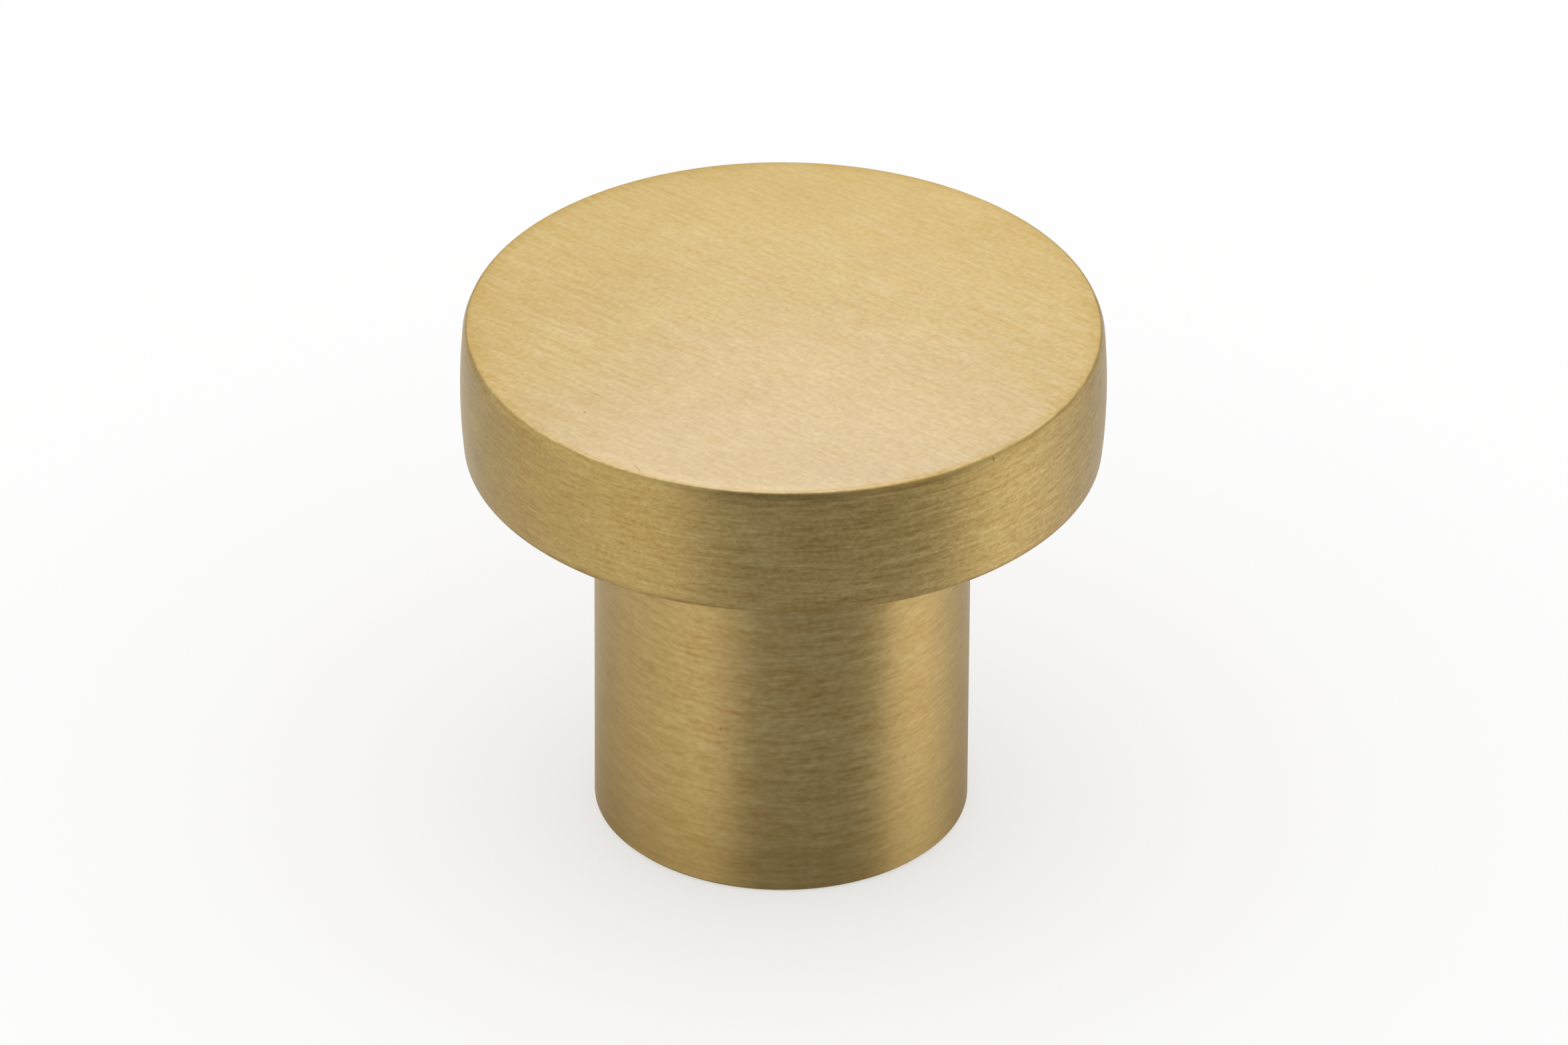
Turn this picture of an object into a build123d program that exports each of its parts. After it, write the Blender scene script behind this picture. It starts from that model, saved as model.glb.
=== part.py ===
from build123d import *
import os
from math import radians, sqrt, tan

# A cabinet knob turned from one bar of solid brass: a flat disc head on a plain round stem.
# Millimetres. The origin is the centre of the base, which seats on the cabinet front,
# and +Z runs out along the turning axis, up the stem and through the head.

# Head
HEAD_DIAMETER = 35.0  # across the widest part of the rim
HEAD_THICKNESS = 7.5
RIM_CROWN = 0.2  # how far the rim swells out past its two edges
TOP_BEVEL_HEIGHT = 0.45  # steep bevel round the top edge, down the rim
TOP_BEVEL_WIDTH = 0.13  # and in across the top
TOP_EDGE_RADIUS = 0.2  # between that bevel and the flat top
UNDER_EDGE_BREAK = 0.15  # bevel on the rim's lower edge

# Stem
STEM_DIAMETER = 20.5
STEM_LENGTH = 22.5  # from the base to the underside of the head
NECK_RADIUS = 0.3  # inner corner between the stem and the head
BASE_EDGE_BREAK = 0.2  # bevel round the base

# Blind hole in the base, drilled for an M4 tap
TAP_DRILL_DIAMETER = 3.3
HOLE_DEPTH = 12.0  # from the base to the end of the straight wall
DRILL_POINT_ANGLE = 118.0
COUNTERSINK_FLARE = 0.55  # how far the mouth opens out past the straight wall
COUNTERSINK_ANGLE = 90.0


def rim_radius(from_middle):
    """Radius of the crowned rim at a height above or below the middle of the head."""
    half = HEAD_THICKNESS / 2
    crown_radius = (half**2 + RIM_CROWN**2) / (2 * RIM_CROWN)
    return HEAD_DIAMETER / 2 - crown_radius + sqrt(crown_radius**2 - from_middle**2)


def turned_blank():
    """The outside of the knob, turned from a half-section with its corners eased."""
    stem_radius = STEM_DIAMETER / 2
    half = HEAD_THICKNESS / 2
    top = STEM_LENGTH + HEAD_THICKNESS
    rim_middle = STEM_LENGTH + half

    base_edge = (stem_radius, 0)
    neck = (stem_radius, STEM_LENGTH)
    under_edge = (rim_radius(half), STEM_LENGTH)
    bevel_foot = (rim_radius(half - TOP_BEVEL_HEIGHT), top - TOP_BEVEL_HEIGHT)
    bevel_head = (rim_radius(half) - TOP_BEVEL_WIDTH, top)
    rounded = ((neck, NECK_RADIUS), (bevel_head, TOP_EDGE_RADIUS))
    bevelled = ((base_edge, BASE_EDGE_BREAK), (under_edge, UNDER_EDGE_BREAK))

    with BuildSketch() as section:
        with BuildLine():
            Polyline((0, top), (0, 0), base_edge, neck, under_edge)
            ThreePointArc(under_edge, (rim_radius(0), rim_middle), bevel_foot)
            Polyline(bevel_foot, bevel_head, (0, top))
        make_face()
        for corner, radius in rounded:
            fillet(section.vertices().sort_by_distance(corner)[0], radius)
        for corner, length in bevelled:
            chamfer(section.vertices().sort_by_distance(corner)[0], length)
    return revolve(Plane.XZ * section.sketch, Axis.Z)


def screw_hole():
    """The drilled hole with its pointed end and its countersunk mouth."""
    wall_radius = TAP_DRILL_DIAMETER / 2
    mouth_radius = wall_radius + COUNTERSINK_FLARE
    countersink_depth = COUNTERSINK_FLARE / tan(radians(COUNTERSINK_ANGLE / 2))
    point_height = wall_radius / tan(radians(DRILL_POINT_ANGLE / 2))

    section = Polygon(
        (0, 0),
        (mouth_radius, 0),
        (wall_radius, countersink_depth),
        (wall_radius, HOLE_DEPTH),
        (0, HOLE_DEPTH + point_height),
        align=None,
    )
    return revolve(Plane.XZ * section, Axis.Z)


knob = turned_blank() - screw_hole()
knob.label = "knob"

os.makedirs("parts", exist_ok=True)
export_step(knob, "parts/knob.step")
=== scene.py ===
from collections import namedtuple
from math import asin, atan2, cos, hypot, pi, radians, sin, sqrt, tan

import bmesh
import bpy
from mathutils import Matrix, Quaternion, Vector


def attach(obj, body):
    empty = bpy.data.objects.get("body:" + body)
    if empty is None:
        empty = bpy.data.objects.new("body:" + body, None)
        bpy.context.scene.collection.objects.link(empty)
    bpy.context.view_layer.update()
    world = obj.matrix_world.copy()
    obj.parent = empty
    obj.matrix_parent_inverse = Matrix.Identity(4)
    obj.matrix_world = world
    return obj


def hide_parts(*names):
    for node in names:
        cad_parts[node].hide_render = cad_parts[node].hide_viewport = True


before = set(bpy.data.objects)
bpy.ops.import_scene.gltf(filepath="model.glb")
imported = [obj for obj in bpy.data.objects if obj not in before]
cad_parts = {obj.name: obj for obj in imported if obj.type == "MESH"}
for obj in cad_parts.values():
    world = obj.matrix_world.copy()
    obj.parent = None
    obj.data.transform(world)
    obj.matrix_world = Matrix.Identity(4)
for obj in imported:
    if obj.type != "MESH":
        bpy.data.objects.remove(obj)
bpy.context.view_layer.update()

# The looks of a satin brushed brass cabinet knob: one turned piece with a tapped hole in its base.
# Metres. The origin is the centre of the base and +Z runs up the stem and through the head.

MM = 0.001
WHITE = (1.0, 1.0, 1.0)

# Turned form
HEAD_RADIUS = 17.5 * MM
HEAD_THICKNESS = 7.5 * MM
RIM_CROWN = 0.2 * MM  # how far the rim swells out past its two edges
TOP_BEVEL_HEIGHT = 0.45 * MM  # steep bevel round the top edge, down the rim
TOP_BEVEL_WIDTH = 0.13 * MM  # and in across the top
TOP_EDGE_RADIUS = 0.2 * MM  # between that bevel and the top
BEVEL_EASE = 0.3 * MM  # the rim's shading runs into the bevel over this height
ROLL_WIDTH = 0.75 * MM  # the brushed top rolls off a little towards its edge
ROLL_TURN = radians(3.5)
UNDER_EDGE_BREAK = 0.15 * MM
STEM_RADIUS = 10.25 * MM
STEM_LENGTH = 22.5 * MM
NECK_RADIUS = 0.3 * MM
BASE_EDGE_BREAK = 0.2 * MM
TOP = STEM_LENGTH + HEAD_THICKNESS

# Tapped hole
HOLE_RADIUS = 1.65 * MM  # at the crests of the thread
HOLE_DEPTH = 12.0 * MM
DRILL_POINT_ANGLE = radians(118)
COUNTERSINK_FLARE = 0.55 * MM  # how far the mouth opens out, and how deep the countersink goes
THREAD_PITCH = 0.7 * MM
THREAD_DEPTH = 0.35 * MM
THREAD_CREST = 0.3  # share of the pitch that is flat at the crest
THREAD_ROOT = 0.125  # share of the pitch that is flat at the root
THREAD_END = 10.6 * MM  # height at which the thread has run out
THREAD_RUN_OUT = 1.1 * MM

# Mesh
SEGMENTS = 192
HOLE_SEGMENTS = 64
RINGS_PER_PITCH = 18
TOP_STEPS = 12
ROLL_STEPS = 6
EDGE_STEPS = 10
BEVEL_STEPS = 2
RIM_STEPS = 20
UNDERSIDE_STEPS = 6
NECK_STEPS = 8
STEM_STEPS = 16
BASE_STEPS = 6
SUPPORT = 0.04 * MM  # distance of a support ring from the curve that it stands by
SHARP_TURN = radians(25)  # an edge where the surface turns by more than this is sharp
SMOOTH_REACH = 1.3 * HOLE_RADIUS  # but the thread's edges, all nearer to the axis than this, are smooth

# Map
UV_NAME = "OFBake"
UV_GAP = 0.7 * MM  # room between two islands
UV_GROWTH = 1.01  # the square grows by this factor until the islands fit
# How many equal sectors each zone's strip is cut into, and the radius that sets its width
STRIPS = {
    "edge": (3, HEAD_RADIUS),
    "rim": (3, HEAD_RADIUS),
    "underside": (3, HEAD_RADIUS),
    "stem": (2, STEM_RADIUS),
    "base": (2, STEM_RADIUS),
    "hole": (1, HOLE_RADIUS + THREAD_DEPTH),
}

# Brass
BRASS = (0.767, 0.525, 0.160)
BRASS_PALE = (0.775, 0.540, 0.175)
# The stem's two hues are the head's brass made a little bluer and paler: painted light that stands in for
# the paler highlights on the stem
STEM_BRASS = (0.767, 0.530, 0.190)
STEM_BRASS_PALE = (0.775, 0.545, 0.205)
CLOUD_SIZE = 6 * MM  # soft clouds mix each pair of hues
CLOUD_CONTRAST = 0.12
NOISE_MIDDLE = (0.35, 0.65)  # most of a noise's values lie between these two
SATIN = (0.38, 0.46)  # roughness, which varies with the long strokes
LACQUER_IOR = 1.5

# Brushing
BRUSH_ANGLE = radians(-39)  # the straight strokes on the top are turned this far from +X
HIGHLIGHT_TURN = 0.25  # a quarter of a turn, so that highlights spread across the strokes
RELIEF = 0.001 * MM
WANDER = 0.1 * MM  # strokes round the turn wander up and down by this
WANDER_LENGTH = 4 * MM
STROKE_DETAIL = 1.0
# How much each channel varies with the strokes: dark strokes are deeper in colour, and light ones paler
TOP_SPREAD = (1.0, 1.6, 3.5)
SIDE_SPREAD = (1.0, 1.4, 2.3)
# Layers of strokes: width as a multiple of the brushing's own, share of the contrast, roughness of the noise
Layer = namedtuple("Layer", "width share roughness")
GRAIN = Layer(width=1.0, share=0.58, roughness=0.4)
MIDDLE_STROKES = Layer(width=0.85, share=0.55, roughness=0.4)
LONG_STROKES = Layer(width=1.2, share=0.75, roughness=0.4)
BANDS = Layer(width=4.0, share=0.15, roughness=0.6)
BAND_STRETCH = 3  # a band is this many times as long as a long stroke

# Strokes grow fainter along a direction: least at the start, and full from the end on.
# A mirrored fade does the same the opposite way.
Fade = namedtuple("Fade", "direction start end least mirrored")

# Small marks of wear, with half-lengths along their own three axes and a turn about Z
Mark = namedtuple("Mark", "centre size turn darkening")
TOP_LINE = Mark(Vector((-10.05, -7.33, 30)) * MM, Vector((0.95, 0.05, 1)) * MM, radians(-36), 0.22)
TOP_SPECK = Mark(Vector((-10.62, -9.19, 30)) * MM, Vector((0.1, 0.12, 1)) * MM, 0, 0.3)
EDGE_SCRATCH = Mark(Vector((-7.78, -14.73, 30)) * MM, Vector((0.8, 0.05, 1)) * MM, radians(-62), 0.2)
EDGE_NICK = Mark(Vector((11.34, -13.33, 29.66)) * MM, Vector((0.1, 0.6, 0.2)) * MM, radians(40), 0.35)
STEM_SPECK = Mark(Vector((-3.29, -9.71, 10.2)) * MM, Vector((0.12, 0.6, 0.12)) * MM, radians(-19), 0.2)
MARK_FADE = (0.5, 1.0)  # a mark fades out between these two shares of its half-lengths

# Floor, and the shade round the base in reflections
FLOOR_HALF = 6.0
FLOOR_DROP = 0.02 * MM
FLOOR_COLOUR = (0.95, 0.95, 0.95)
FLOOR_GLOW = 0.5  # share of plain white in the floor as the camera sees it, which lightens the shadow
SHADE_START = 10 * MM  # distance from the axis at which the shade is deepest
SHADE_REACH = 31 * MM  # and at which it ends
SHADE_HEIGHT = 0.05 * MM
SHADE_SEGMENTS = 96
SHADE_AT_BASE = (0.62, 0.6, 0.54)  # a little yellow, from the brass

# Studio
AMBIENT = (1.05, 1.05, 1.05)
SKY_LOW = (0.6, 0.52, 0.32)
SKY = (0.735, 0.677, 0.428)
SKY_HIGH = (0.98, 1.08, 1.7)
SKY_POLE = (0, cos(radians(55)), sin(radians(55)))  # middle of the sky, behind the knob and above it
SKY_NARROWING = 1.8  # the sky is this many times narrower from side to side than from front to back
SKY_EDGE = (0.5, 0.8)  # the sky comes up between these two cosines of the angle from its middle
NADIR = (0.3, 0.3, 0.3)  # straight down, in the knob's own shadow
# Each of these changes comes between two sines of the elevation
SKY_LOW_RISE = (0.33, 0.53)  # the sky brightens
SKY_RISE = (0.57, 0.76)  # the sky whitens
WALL_RISE = (-0.25, 0.15)  # the ground gives way to the walls
CEILING_RISE = (0.12, 0.5)  # the walls give way to the ceiling
NADIR_FALL = (-0.7, -0.92)  # the ground falls to the level straight down
# Brightness of the ground, walls and ceiling, as (degrees from the front towards the right, radiance)
GROUND_LEVELS = [
    (-180, 0.85), (-157, 0.6), (-132, 0.43), (-110, 0.52), (-90, 0.58), (-70, 0.66), (-48, 0.75),
    (-12, 0.335), (38, 0.28), (56, 0.34), (76, 0.79), (92, 0.95), (112, 0.71), (135, 0.46),
    (157, 0.53), (180, 0.85),
]
WALL_LEVELS = [
    (-180, 0.55), (-150, 0.34), (-120, 0.36), (-85, 0.57), (-45, 0.5),
    (-15, 0.045), (45, 0.03), (80, 0.22), (150, 0.28), (180, 0.55),
]
CEILING_LEVELS = [
    (-180, 0.6), (-70, 0.6), (-15, 0.25), (18, 0.25), (45, 0.85), (80, 0.85), (120, 0.6), (180, 0.6),
]
DARK = 0.37  # levels under this one are tinted
COOL = (0.97, 1.02, 1.2)

# Lamps that show only in reflections
Lamp = namedtuple("Lamp", "place aim width height colour power")
# A cool one behind the knob makes a pale gloss on the lacquer of the top
GLOSS_LAMP = Lamp(
    place=Vector((1, 158, 148)) * MM,
    aim=Vector((0, -11, 30)) * MM,
    width=46 * MM,
    height=34 * MM,
    colour=(0.7, 0.98, 1.85),
    power=0.005,
)
# A warm one above that makes the bright line along the front of the top's edge
LINE_LAMP = Lamp(
    place=Vector((-8, 158, 165)) * MM,
    aim=Vector((-4, -16.5, 30)) * MM,
    width=26 * MM,
    height=16 * MM,
    colour=(1.0, 0.95, 0.8),
    power=0.0018,
)

# Photograph's camera
CAMERA_EYE = Vector((0, -694.28, 453.6)) * MM
CAMERA_AIM = Vector((0.074, 0, 17.34)) * MM
CAMERA_ROLL = radians(0.348)
CAMERA_LENS = 345.92  # millimetres, as is the sensor
CAMERA_SENSOR = 36
CAMERA_NEAR = 0.01
CAMERA_FAR = 50


def between(start, end, share):
    """The point at a share of the way from one point of the half-section to another."""
    return (start[0] + (end[0] - start[0]) * share, start[1] + (end[1] - start[1]) * share)


def straight(start, end, steps):
    """Points of a straight run in the half-section, both ends included."""
    return [between(start, end, i / steps) for i in range(steps + 1)]


def supported(start, end, steps):
    """A straight run with one more ring close to each end, which keeps the shading flat between them."""
    share = SUPPORT / hypot(end[0] - start[0], end[1] - start[1])
    near = between(start, end, share)
    far = between(end, start, share)
    return [start] + straight(near, far, steps) + [end]


def on_circle(centre, radius, turn):
    """A point of a circle in the half-section. The turn is from the outward radius."""
    return (centre[0] + radius * cos(turn), centre[1] + radius * sin(turn))


def arc(centre, radius, start, end, steps):
    """Points of a circular arc in the half-section, both ends included."""
    return [on_circle(centre, radius, start + (end - start) * i / steps) for i in range(steps + 1)]


def half_section():
    """The outside of the knob as zones of (radius, height) points, from the top's centre to the hole."""
    half = HEAD_THICKNESS / 2
    crown_radius = (half * half + RIM_CROWN * RIM_CROWN) / (2 * RIM_CROWN)
    crown_centre = (HEAD_RADIUS - crown_radius, STEM_LENGTH + half)
    rim_edge = HEAD_RADIUS - RIM_CROWN
    foot_turn = asin((half - TOP_BEVEL_HEIGHT) / crown_radius)
    bevel_foot = on_circle(crown_centre, crown_radius, foot_turn)
    bevel_head = (rim_edge - TOP_BEVEL_WIDTH, TOP)
    bevel_tilt = atan2(bevel_foot[0] - bevel_head[0], TOP_BEVEL_HEIGHT)

    roll_radius = ROLL_WIDTH / sin(ROLL_TURN)
    roll_drop = roll_radius * (1 - cos(ROLL_TURN))
    edge_reach = TOP_EDGE_RADIUS * tan((pi / 2 - bevel_tilt) / 2)
    edge_inset = bevel_head[0] + roll_drop * tan(bevel_tilt) - edge_reach
    edge_centre = (edge_inset, TOP - roll_drop - TOP_EDGE_RADIUS)
    edge = arc(edge_centre, TOP_EDGE_RADIUS, pi / 2 - ROLL_TURN, bevel_tilt, EDGE_STEPS)
    roll_centre = (edge[0][0] - ROLL_WIDTH, TOP - roll_radius)
    roll = arc(roll_centre, roll_radius, pi / 2, pi / 2 - ROLL_TURN, ROLL_STEPS)

    crown_start = foot_turn - BEVEL_EASE / crown_radius
    crown_end = -asin(half / crown_radius) + UNDER_EDGE_BREAK / crown_radius
    crown = arc(crown_centre, crown_radius, crown_start, crown_end, RIM_STEPS)
    under_edge = (rim_edge - UNDER_EDGE_BREAK, STEM_LENGTH)
    neck_centre = (STEM_RADIUS + NECK_RADIUS, STEM_LENGTH - NECK_RADIUS)
    neck = arc(neck_centre, NECK_RADIUS, pi / 2, pi, NECK_STEPS)
    stem_end = (STEM_RADIUS, BASE_EDGE_BREAK)
    base_edge = (STEM_RADIUS - BASE_EDGE_BREAK, 0)
    mouth = (HOLE_RADIUS + COUNTERSINK_FLARE, 0)
    return {
        "top": straight((0, TOP), roll[0], TOP_STEPS) + roll[1:],
        "edge": edge + straight(edge[-1], bevel_foot, BEVEL_STEPS)[1:],
        "rim": [bevel_foot] + crown + [under_edge],
        "underside": supported(under_edge, neck[0], UNDERSIDE_STEPS),
        "stem": neck + supported(neck[-1], stem_end, STEM_STEPS)[1:] + [base_edge],
        "base": straight(base_edge, mouth, BASE_STEPS),
    }


def thread_cut(turn, height):
    """Depth of the thread at an angle and a height: flat crests and roots joined by straight flanks."""
    phase = (height / THREAD_PITCH - turn / (2 * pi)) % 1
    from_root = abs(phase - 0.5)
    flank = (1 - THREAD_CREST - THREAD_ROOT) / 2
    share = (THREAD_ROOT / 2 + flank - from_root) / flank
    run_out = (THREAD_END - height) / THREAD_RUN_OUT
    return THREAD_DEPTH * min(max(share, 0), 1) * min(max(run_out, 0), 1)


def hole_radius(turn, height):
    """Radius of the hole's wall: a countersink near the mouth, then the thread, then plain drilled wall."""
    countersink = HOLE_RADIUS + COUNTERSINK_FLARE - height
    return max(countersink, HOLE_RADIUS + thread_cut(turn, height))


def hole_heights():
    """Heights of the rings of the hole's wall, close together along the thread."""
    rings = round(THREAD_END / THREAD_PITCH * RINGS_PER_PITCH)
    return [THREAD_END * i / rings for i in range(1, rings + 1)] + [HOLE_DEPTH]


def turns_of(count):
    """The angles of a ring's vertices."""
    return [2 * pi * k / count for k in range(count)]


class ZonedMesh:
    """A turned mesh that keeps the faces of each zone, with the places of each face's corners along the turn
    (0 to 1) and along the half-section."""

    def __init__(self):
        self.bm = bmesh.new()
        self.faces = {}

    def on_axis(self, height):
        """A vertex on the axis."""
        return self.bm.verts.new((0, 0, height))

    def ring(self, radii, height):
        """A closed ring of vertices, with a radius for each."""
        steps = zip(radii, turns_of(len(radii)))
        places = [(radius * cos(turn), radius * sin(turn), height) for radius, turn in steps]
        return [self.bm.verts.new(place) for place in places]

    def face(self, zone, corners):
        """A face from corners of (vertex, share of the turn, length along the half-section)."""
        made = self.bm.faces.new([corner[0] for corner in corners])
        made.smooth = True
        self.faces.setdefault(zone, []).append((made, [corner[1:] for corner in corners]))

    def band(self, zone, upper, lower, start, end):
        """Faces from one ring to the next, which has as many vertices or a whole number of times fewer."""
        many, few = len(upper), len(lower)
        times = many // few
        for k in range(few):
            above = [(upper[i % many], i / many, start) for i in range(k * times, (k + 1) * times + 1)]
            below = [(lower[i % few], i / few, end) for i in (k, k + 1)]
            self.face(zone, above[:1] + below + above[:0:-1])

    def opening_cone(self, zone, tip, lower, end):
        """Faces from a vertex on the axis, where the zone starts, to its first ring."""
        count = len(lower)
        for k in range(count):
            below = [(lower[i % count], i / count, end) for i in (k, k + 1)]
            self.face(zone, [(tip, (k + 0.5) / count, 0)] + below)

    def closing_cone(self, zone, upper, tip, start, end):
        """Faces from a zone's last ring to a vertex on the axis."""
        count = len(upper)
        for k in range(count):
            first, second = [(upper[i % count], i / count, start) for i in (k, k + 1)]
            self.face(zone, [first, (tip, (k + 0.5) / count, end), second])


def turn_outside(turned):
    """Turns the half-section, from the top's centre to the mouth of the hole. Returns the mouth's ring."""
    centre = turned.on_axis(TOP)
    previous = None
    for zone, points in half_section().items():
        along = 0.0
        for before, (radius, height) in zip(points, points[1:]):
            at_mouth = zone == "base" and (radius, height) == points[-1]
            made = turned.ring([radius] * (HOLE_SEGMENTS if at_mouth else SEGMENTS), height)
            reached = along + hypot(radius - before[0], height - before[1])
            if previous is None:
                turned.opening_cone(zone, centre, made, reached)
            else:
                turned.band(zone, previous, made, along, reached)
            along = reached
            previous = made
    return previous


def tap_hole(turned, mouth):
    """The hole's countersink, thread and plain wall, from the mouth's ring to the drill point."""
    previous = mouth
    height = 0.0
    for next_height in hole_heights():
        made = turned.ring([hole_radius(turn, next_height) for turn in turns_of(HOLE_SEGMENTS)], next_height)
        turned.band("hole", previous, made, height, next_height)
        height = next_height
        previous = made
    point_height = HOLE_RADIUS / tan(DRILL_POINT_ANGLE / 2)
    tip = turned.on_axis(HOLE_DEPTH + point_height)
    turned.closing_cone("hole", previous, tip, height, height + hypot(HOLE_RADIUS, point_height))


def pack_islands(islands):
    """Places rectangles {key: (width, height)} on shelves in the smallest square that holds them.
    Returns each one's corner and the square's side."""
    order = sorted(islands, key=lambda key: islands[key][1], reverse=True)
    side = sqrt(sum(width * height for width, height in islands.values()))
    while True:
        places = {}
        x = UV_GAP
        y = UV_GAP
        shelf = 0.0
        for key in order:
            width, height = islands[key]
            if x + width + UV_GAP > side:
                x = UV_GAP
                y = y + shelf + UV_GAP
                shelf = 0.0
            places[key] = (x, y)
            x += width + UV_GAP
            shelf = max(shelf, height)
        if y + shelf + UV_GAP <= side:
            return places, side
        side *= UV_GROWTH


def on_top_island(corner, reach):
    """Where a corner of the top lies on its island, with U along the straight strokes."""
    u = corner.x * cos(BRUSH_ANGLE) + corner.y * sin(BRUSH_ANGLE)
    v = corner.y * cos(BRUSH_ANGLE) - corner.x * sin(BRUSH_ANGLE)
    return reach + u, reach + v


def on_strip_island(zone, cut, place, length):
    """Where a corner lies on one sector of its zone's unrolled strip, with U round the turn."""
    cuts, radius = STRIPS[zone]
    turn, along = place
    return (turn - cut / cuts) * 2 * pi * radius, length - along


def lay_map(turned):
    """A map with every zone unrolled so that U runs along its brushing."""
    layer = turned.bm.loops.layers.uv.new(UV_NAME)
    lengths = {}
    for zone, rows in turned.faces.items():
        lengths[zone] = max(along for _, places in rows for _, along in places)
    islands = {("top", 0): (2 * lengths["top"], 2 * lengths["top"])}
    for zone, (cuts, radius) in STRIPS.items():
        for cut in range(cuts):
            islands[zone, cut] = (2 * pi * radius / cuts, lengths[zone])
    corners, side = pack_islands(islands)
    for zone, rows in turned.faces.items():
        cuts = STRIPS[zone][0] if zone in STRIPS else 1
        for made, places in rows:
            cut = int(sum(turn for turn, _ in places) / len(places) * cuts)
            x, y = corners[zone, cut]
            for loop, place in zip(made.loops, places):
                if zone == "top":
                    u, v = on_top_island(loop.vert.co, lengths[zone])
                else:
                    u, v = on_strip_island(zone, cut, place, lengths[zone])
                loop[layer].uv = ((x + u) / side, (y + v) / side)


def feed(tree, socket, value):
    """Links a socket to another node's output, or sets it to a constant."""
    if isinstance(value, bpy.types.NodeSocket):
        tree.links.new(value, socket)
    else:
        socket.default_value = value


def add_node(tree, kind, settings=None, **inputs):
    """A node with its settings, and with inputs by name, where _ stands for a space."""
    node = tree.nodes.new(kind)
    for name, value in (settings or {}).items():
        setattr(node, name, value)
    for name, value in inputs.items():
        feed(tree, node.inputs[name.replace("_", " ")], value)
    return node


def new_material(name):
    """An empty node material and its tree."""
    material = bpy.data.materials.new(name)
    material.use_nodes = True
    material.node_tree.nodes.clear()
    return material, material.node_tree


def maths(tree, operation, *values):
    """The result of a Math node."""
    node = add_node(tree, "ShaderNodeMath", {"operation": operation})
    for socket, value in zip(node.inputs, values):
        feed(tree, socket, value)
    return node.outputs[0]


def vector_maths(tree, operation, *values):
    """The result of a Vector Math node, which is a number for a length or a dot product."""
    node = add_node(tree, "ShaderNodeVectorMath", {"operation": operation})
    for socket, value in zip(node.inputs, values):
        feed(tree, socket, value)
    is_number = operation in ("LENGTH", "DOT_PRODUCT")
    return node.outputs["Value" if is_number else "Vector"]


def remap(tree, value, low, high, to_low, to_high):
    """A value carried from one range to another, and held at its ends."""
    node = add_node(tree, "ShaderNodeMapRange", Value=value, From_Min=low, From_Max=high,
                    To_Min=to_low, To_Max=to_high)
    return node.outputs[0]


def share_of(tree, value, span):
    """How far a value has come from the first of two limits to the second, from 0 to 1."""
    return remap(tree, value, *span, 0, 1)


def varied(tree, start, *parts):
    """start + the sum of weight x (value - 1/2) over (value, weight) parts."""
    total = start - sum(weight for _, weight in parts) / 2
    for value, weight in parts:
        total = maths(tree, "MULTIPLY_ADD", value, weight, total)
    return total


def mix_colour(tree, factor, first, second):
    """A mix of two colours, each a constant or another node's output."""
    node = add_node(tree, "ShaderNodeMix", {"data_type": "RGBA"})
    factor_socket = node.inputs[0]
    colour_sockets = node.inputs[6:8]
    colour_result = node.outputs[2]
    feed(tree, factor_socket, factor)
    for socket, colour in zip(colour_sockets, (first, second)):
        is_constant = isinstance(colour, tuple)
        feed(tree, socket, (*colour, 1) if is_constant else colour)
    return colour_result


def mix_shader(tree, factor, first, second):
    """A mix of two shaders."""
    node = add_node(tree, "ShaderNodeMixShader")
    for socket, value in zip(node.inputs, (factor, first, second)):
        feed(tree, socket, value)
    return node.outputs[0]


def split(tree, vector):
    """A vector's three coordinates."""
    return tuple(add_node(tree, "ShaderNodeSeparateXYZ", Vector=vector).outputs)


def joined(tree, x, y, z=0.0):
    """A vector from three coordinates."""
    return add_node(tree, "ShaderNodeCombineXYZ", X=x, Y=y, Z=z).outputs[0]


def object_place(tree):
    """A place in the object's own coordinates."""
    return add_node(tree, "ShaderNodeTexCoord").outputs["Object"]


def measured(tree, place, **axes):
    """A place as measured along axes with a location, rotation and scale of their own."""
    return add_node(tree, "ShaderNodeMapping", {"vector_type": "TEXTURE"}, Vector=place, **axes).outputs[0]


def noise(tree, place, size, detail=2.0, roughness=0.6):
    """Noise drawn out to a size along each of the place's three coordinates."""
    node = add_node(tree, "ShaderNodeTexNoise", Vector=measured(tree, place, Scale=size), Scale=1.0,
                    Detail=detail, Roughness=roughness)
    return node.outputs["Fac"]


# Three ways for strokes to run, each giving a place as (distance across them, two distances along them)


def round_the_turn(tree):
    """Strokes round the rim and the stem, which wander up and down a little."""
    place = object_place(tree)
    x, y, z = split(tree, place)
    wander = noise(tree, place, (WANDER_LENGTH, WANDER_LENGTH, WANDER_LENGTH), STROKE_DETAIL)
    across = maths(tree, "ADD", z, varied(tree, 0, (wander, WANDER)))
    return joined(tree, across, x, y)


def straight_across(tree):
    """Straight strokes over the flat top."""
    along, across, _ = split(tree, measured(tree, object_place(tree), Rotation=(0, 0, BRUSH_ANGLE)))
    return joined(tree, across, along)


def round_the_axis(tree):
    """Rings that a lathe tool leaves on a flat face."""
    x, y, _ = split(tree, object_place(tree))
    reach = vector_maths(tree, "LENGTH", joined(tree, x, y))
    return joined(tree, reach, x, y)


def worn(tree, strokes, mark):
    """Strokes darkened inside one small mark of wear."""
    inside = measured(tree, object_place(tree), Location=mark.centre, Rotation=(0, 0, mark.turn),
                      Scale=mark.size)
    depth = remap(tree, vector_maths(tree, "LENGTH", inside), *MARK_FADE, 1, 0)
    return maths(tree, "MULTIPLY_ADD", depth, -mark.darkening, strokes)


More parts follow.
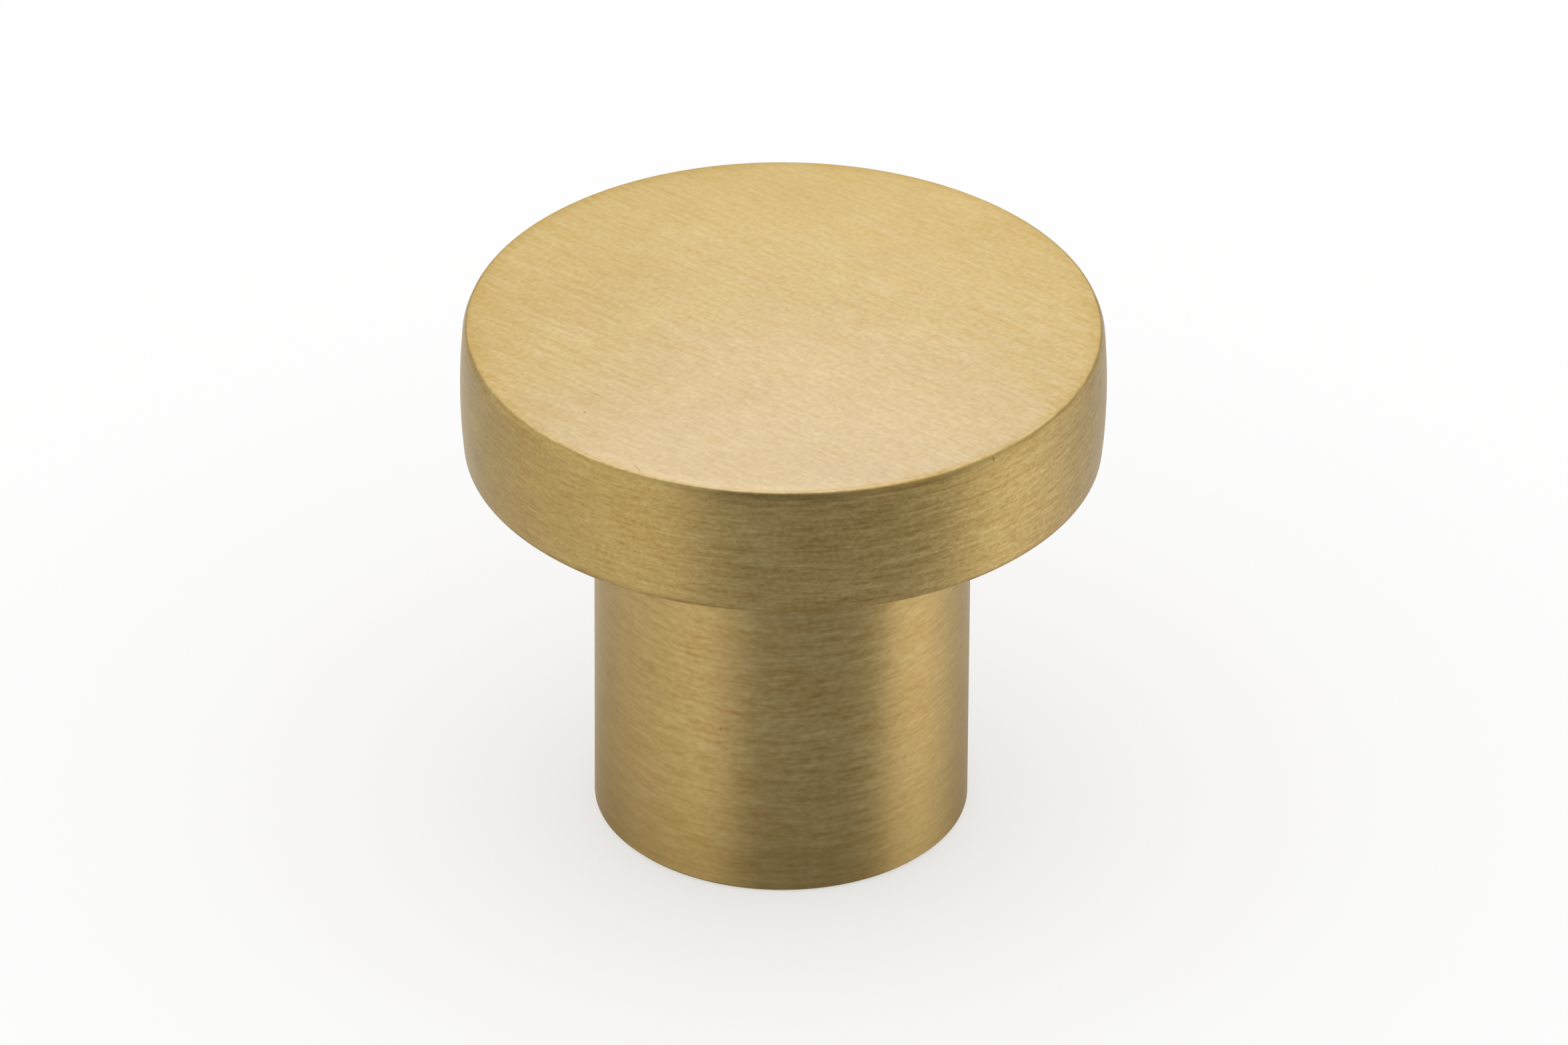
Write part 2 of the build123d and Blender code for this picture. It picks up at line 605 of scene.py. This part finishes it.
def faded(tree, strokes, fade):
    """Strokes made fainter along one direction."""
    distance = vector_maths(tree, "DOT_PRODUCT", object_place(tree), fade.direction)
    if fade.mirrored:
        distance = maths(tree, "ABSOLUTE", distance)
    return maths(tree, "MULTIPLY", strokes, remap(tree, distance, fade.start, fade.end, fade.least, 1))


def brass_colour(tree, hues, strokes, spread):
    """Two hues mixed by soft clouds, with each channel lightened and darkened by the strokes."""
    clouds = noise(tree, object_place(tree), (CLOUD_SIZE, CLOUD_SIZE, CLOUD_SIZE))
    hue = mix_colour(tree, share_of(tree, clouds, NOISE_MIDDLE), *hues)
    plain = vector_maths(tree, "MULTIPLY", hue, varied(tree, 1, (clouds, CLOUD_CONTRAST)))
    tones = vector_maths(tree, "MULTIPLY_ADD", strokes, spread, WHITE)
    return vector_maths(tree, "MULTIPLY", plain, tones)


def brushed_brass(name, strokes_run, width, lengths, contrast, spread, coat, coat_roughness, anisotropy,
                  roughness=SATIN, hues=(BRASS, BRASS_PALE), fades=(), wear=()):
    """Lacquered brass with fine grain, middle and long strokes, broader bands and clouds in its colour."""
    material, tree = new_material(name)
    place = strokes_run(tree)

    def drawn(layer, length):
        """Noise drawn out along the strokes."""
        return noise(tree, place, (layer.width * width, length, length), STROKE_DETAIL, layer.roughness)

    short, middle, long = lengths
    grain = drawn(GRAIN, short)
    middle_strokes = drawn(MIDDLE_STROKES, middle)
    long_strokes = drawn(LONG_STROKES, long)
    bands = drawn(BANDS, BAND_STRETCH * long)
    strokes = varied(
        tree, 0,
        (grain, GRAIN.share * contrast),
        (middle_strokes, MIDDLE_STROKES.share * contrast),
        (long_strokes, LONG_STROKES.share * contrast),
        (bands, BANDS.share * contrast),
    )
    for fade in fades:
        strokes = faded(tree, strokes, fade)
    for mark in wear:
        strokes = worn(tree, strokes, mark)

    bump = add_node(tree, "ShaderNodeBump", Height=long_strokes, Strength=1.0, Distance=RELIEF)
    tangent = add_node(tree, "ShaderNodeTangent", {"direction_type": "UV_MAP", "uv_map": UV_NAME})
    shader = add_node(
        tree, "ShaderNodeBsdfPrincipled",
        Base_Color=brass_colour(tree, hues, strokes, spread),
        Metallic=1.0,
        Roughness=remap(tree, long_strokes, *NOISE_MIDDLE, *roughness),
        Normal=bump.outputs[0],
        Anisotropic=anisotropy,
        Anisotropic_Rotation=HIGHLIGHT_TURN,
        Tangent=tangent.outputs[0],
        Coat_Weight=coat,
        Coat_Roughness=coat_roughness,
        Coat_IOR=LACQUER_IOR,
    )
    add_node(tree, "ShaderNodeOutputMaterial", Surface=shader.outputs[0])
    return material


def compass(degrees):
    """A level direction, by its degrees from the front towards the right."""
    return (sin(radians(degrees)), -cos(radians(degrees)), 0)


def top_brass():
    """Straight strokes under glossy lacquer, fainter towards the back."""
    return brushed_brass(
        "brass_top", straight_across, width=0.3 * MM, lengths=(0.3 * MM, 1.3 * MM, 6 * MM),
        contrast=0.375, spread=TOP_SPREAD, coat=1.0, coat_roughness=0.16, anisotropy=0.6,
        fades=[Fade(compass(5), start=-15 * MM, end=0, least=0.7, mirrored=False)],
        wear=[TOP_LINE, TOP_SPECK, EDGE_SCRATCH],
    )


def rim_brass():
    """Strokes round the turn, fainter on the flanks."""
    return brushed_brass(
        "brass_rim", round_the_turn, width=0.18 * MM, lengths=(0.27 * MM, 1 * MM, 3 * MM),
        contrast=0.73, spread=SIDE_SPREAD, coat=0.65, coat_roughness=0.3, anisotropy=0.85,
        fades=[Fade(compass(20), start=4 * MM, end=16 * MM, least=0.6, mirrored=True)],
    )


def stem_brass():
    """Strokes round the turn, fainter on the flanks and towards the base."""
    return brushed_brass(
        "brass_stem", round_the_turn, width=0.25 * MM, lengths=(0.4 * MM, 1.3 * MM, 3 * MM),
        contrast=0.62, spread=SIDE_SPREAD, coat=0.3, coat_roughness=0.3, anisotropy=0.7,
        roughness=(0.35, 0.42), hues=(STEM_BRASS, STEM_BRASS_PALE),
        fades=[Fade(compass(5), start=5 * MM, end=10.2 * MM, least=0.45, mirrored=True),
               Fade((0, 0, 1), start=0, end=9 * MM, least=0.6, mirrored=False)],
        wear=[STEM_SPECK],
    )


def faced_brass():
    """Turning rings on the underside of the head, on the base and in the hole."""
    return brushed_brass(
        "brass_faced", round_the_axis, width=0.2 * MM, lengths=(1 * MM, 3 * MM, 9 * MM),
        contrast=0.37, spread=SIDE_SPREAD, coat=0.75, coat_roughness=0.3, anisotropy=0.6,
    )


def edge_brass():
    """Strokes round the turn on the top's edge and bevel, a little smoother than on the rim."""
    return brushed_brass(
        "brass_edge", round_the_turn, width=0.18 * MM, lengths=(0.27 * MM, 1 * MM, 3 * MM),
        contrast=0.55, spread=SIDE_SPREAD, coat=0.65, coat_roughness=0.3, anisotropy=0.45,
        roughness=(0.32, 0.36), wear=[EDGE_NICK],
    )


# Each finish and the zones that have it
FINISHES = [
    (top_brass, ["top"]),
    (rim_brass, ["rim"]),
    (stem_brass, ["stem"]),
    (faced_brass, ["underside", "base", "hole"]),
    (edge_brass, ["edge"]),
]


def add_object(name, data):
    """A new object in the scene."""
    made = bpy.data.objects.new(name, data)
    bpy.context.scene.collection.objects.link(made)
    return made


def build_knob():
    """The whole turned piece as one closed mesh, which stands for the solid."""
    turned = ZonedMesh()
    mouth = turn_outside(turned)
    tap_hole(turned, mouth)
    lay_map(turned)
    for index, (_, zones) in enumerate(FINISHES):
        for zone in zones:
            for made, _ in turned.faces[zone]:
                made.material_index = index
    for edge in turned.bm.edges:
        by_axis = edge.verts[0].co.xy.length < SMOOTH_REACH
        if not by_axis and edge.calc_face_angle(0) > SHARP_TURN:
            edge.smooth = False
    mesh = bpy.data.meshes.new("knob_body")
    turned.bm.to_mesh(mesh)
    turned.bm.free()
    for finish, _ in FINISHES:
        mesh.materials.append(finish())
    knob = add_object("knob_body", mesh)
    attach(knob, "root")
    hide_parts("knob")


def floor_paint():
    """A pale paint, clear from below, with part of its white given straight to the rays that see it."""
    material, tree = new_material("floor_pale")
    paint = add_node(tree, "ShaderNodeBsdfDiffuse", Color=(*FLOOR_COLOUR, 1))
    white = add_node(tree, "ShaderNodeEmission", Color=(*WHITE, 1), Strength=1.0)
    rays = add_node(tree, "ShaderNodeLightPath")
    seen = rays.outputs["Is Camera Ray"]
    for other in ("Is Glossy Ray", "Is Transmission Ray"):
        seen = maths(tree, "MAXIMUM", seen, rays.outputs[other])
    glow = maths(tree, "MULTIPLY", seen, FLOOR_GLOW)
    lit = mix_shader(tree, glow, paint.outputs[0], white.outputs[0])
    below = add_node(tree, "ShaderNodeNewGeometry").outputs["Backfacing"]
    clear = add_node(tree, "ShaderNodeBsdfTransparent")
    add_node(tree, "ShaderNodeOutputMaterial", Surface=mix_shader(tree, below, lit, clear.outputs[0]))
    return material


def build_floor():
    """A pale floor just under the base, which keeps the knob's shadow."""
    half = FLOOR_HALF
    corners = [(x, y, -FLOOR_DROP) for x, y in ((-half, -half), (half, -half), (half, half), (-half, half))]
    mesh = bpy.data.meshes.new("floor")
    mesh.from_pydata(corners, [], [(0, 1, 2, 3)])
    mesh.materials.append(floor_paint())
    floor = add_object("floor", mesh)
    floor.visible_glossy = False


def base_shade():
    """A clear tint that deepens towards the base."""
    material, tree = new_material("base_shade")
    reach = vector_maths(tree, "LENGTH", object_place(tree))
    shade = mix_colour(tree, share_of(tree, reach, (SHADE_START, SHADE_REACH)), SHADE_AT_BASE, WHITE)
    clear = add_node(tree, "ShaderNodeBsdfTransparent", Color=shade)
    add_node(tree, "ShaderNodeOutputMaterial", Surface=clear.outputs[0])
    return material


def build_shade():
    """A clear disc round the base, seen only in reflections, which darkens the ground towards the base."""
    turns = turns_of(SHADE_SEGMENTS)
    points = [(SHADE_REACH * cos(turn), SHADE_REACH * sin(turn), SHADE_HEIGHT) for turn in turns]
    mesh = bpy.data.meshes.new("base_shade")
    mesh.from_pydata(points, [], [tuple(range(SHADE_SEGMENTS))])
    mesh.materials.append(base_shade())
    disc = add_object("base_shade", mesh)
    disc.visible_camera = False
    disc.visible_diffuse = False
    disc.visible_shadow = False
    disc.visible_transmission = False


def levels_round(tree, direction, levels):
    """Radiance by the compass direction of a vector, from a list of levels."""
    front_in_the_middle = (0, 0, radians(90))
    turned = add_node(tree, "ShaderNodeMapping", Vector=direction, Rotation=front_in_the_middle)
    gradient = add_node(tree, "ShaderNodeTexGradient", {"gradient_type": "RADIAL"}, Vector=turned.outputs[0])
    ramp = add_node(tree, "ShaderNodeValToRGB")
    ramp.color_ramp.interpolation = "EASE"
    tree.links.new(gradient.outputs["Fac"], ramp.inputs[0])
    stops = ramp.color_ramp.elements
    while len(stops) < len(levels):
        stops.new(0.5)
    for stop, (turn, level) in zip(stops, levels):
        stop.position = (turn + 180) / 360
        tint = COOL if level < DARK else WHITE
        stop.color = (*(level * share for share in tint), 1)
    return ramp.outputs["Color"]


def studio_sides(tree, direction, height):
    """The ground, walls and ceiling by direction."""
    ground = levels_round(tree, direction, GROUND_LEVELS)
    walls = levels_round(tree, direction, WALL_LEVELS)
    ceiling = levels_round(tree, direction, CEILING_LEVELS)
    sides = mix_colour(tree, share_of(tree, height, WALL_RISE), ground, walls)
    sides = mix_colour(tree, share_of(tree, height, CEILING_RISE), sides, ceiling)
    return mix_colour(tree, share_of(tree, height, NADIR_FALL), sides, NADIR)


def build_world():
    """Even light on the floor, and in reflections the studio with a bright sky above and behind the knob."""
    world = bpy.data.worlds.new("studio")
    bpy.context.scene.world = world
    world.use_nodes = True
    tree = world.node_tree
    tree.nodes.clear()
    direction = add_node(tree, "ShaderNodeTexCoord").outputs["Generated"]
    _, _, height = split(tree, direction)
    narrowed = vector_maths(tree, "MULTIPLY", direction, (SKY_NARROWING, 1, 1))
    towards_pole = vector_maths(tree, "DOT_PRODUCT", vector_maths(tree, "NORMALIZE", narrowed), SKY_POLE)
    sky = mix_colour(tree, share_of(tree, height, SKY_LOW_RISE), SKY_LOW, SKY)
    sky = mix_colour(tree, share_of(tree, height, SKY_RISE), sky, SKY_HIGH)
    sides = studio_sides(tree, direction, height)
    reflected = mix_colour(tree, share_of(tree, towards_pole, SKY_EDGE), sides, sky)
    glossy = add_node(tree, "ShaderNodeLightPath").outputs["Is Glossy Ray"]
    colour = mix_colour(tree, glossy, AMBIENT, reflected)
    background = add_node(tree, "ShaderNodeBackground", Color=colour, Strength=1.0)
    add_node(tree, "ShaderNodeOutputWorld", Surface=background.outputs[0])


def aimed(thing, place, aim):
    """Puts a lamp or a camera in its place and turns it to what it is aimed at."""
    thing.location = place
    thing.rotation_mode = "QUATERNION"
    thing.rotation_quaternion = (aim - place).to_track_quat("-Z", "Y")


def build_lamp(name, lamp):
    """A small lamp that shows only in reflections."""
    data = bpy.data.lights.new(name, "AREA")
    data.shape = "ELLIPSE"
    data.size = lamp.width
    data.size_y = lamp.height
    data.color = lamp.colour
    data.energy = lamp.power
    made = add_object(name, data)
    aimed(made, lamp.place, lamp.aim)
    made.visible_camera = False
    made.visible_diffuse = False
    made.visible_transmission = False


def build_camera():
    """The photograph's camera, with its slight roll."""
    data = bpy.data.cameras.new("camera")
    data.lens = CAMERA_LENS
    data.sensor_width = CAMERA_SENSOR
    data.clip_start = CAMERA_NEAR
    data.clip_end = CAMERA_FAR
    camera = add_object("camera", data)
    aimed(camera, CAMERA_EYE, CAMERA_AIM)
    camera.rotation_quaternion = camera.rotation_quaternion @ Quaternion((0, 0, 1), CAMERA_ROLL)
    bpy.context.scene.camera = camera


bpy.context.scene.view_settings.view_transform = "Standard"
build_knob()
build_floor()
build_shade()
build_world()
build_lamp("gloss_lamp", GLOSS_LAMP)
build_lamp("line_lamp", LINE_LAMP)
build_camera()
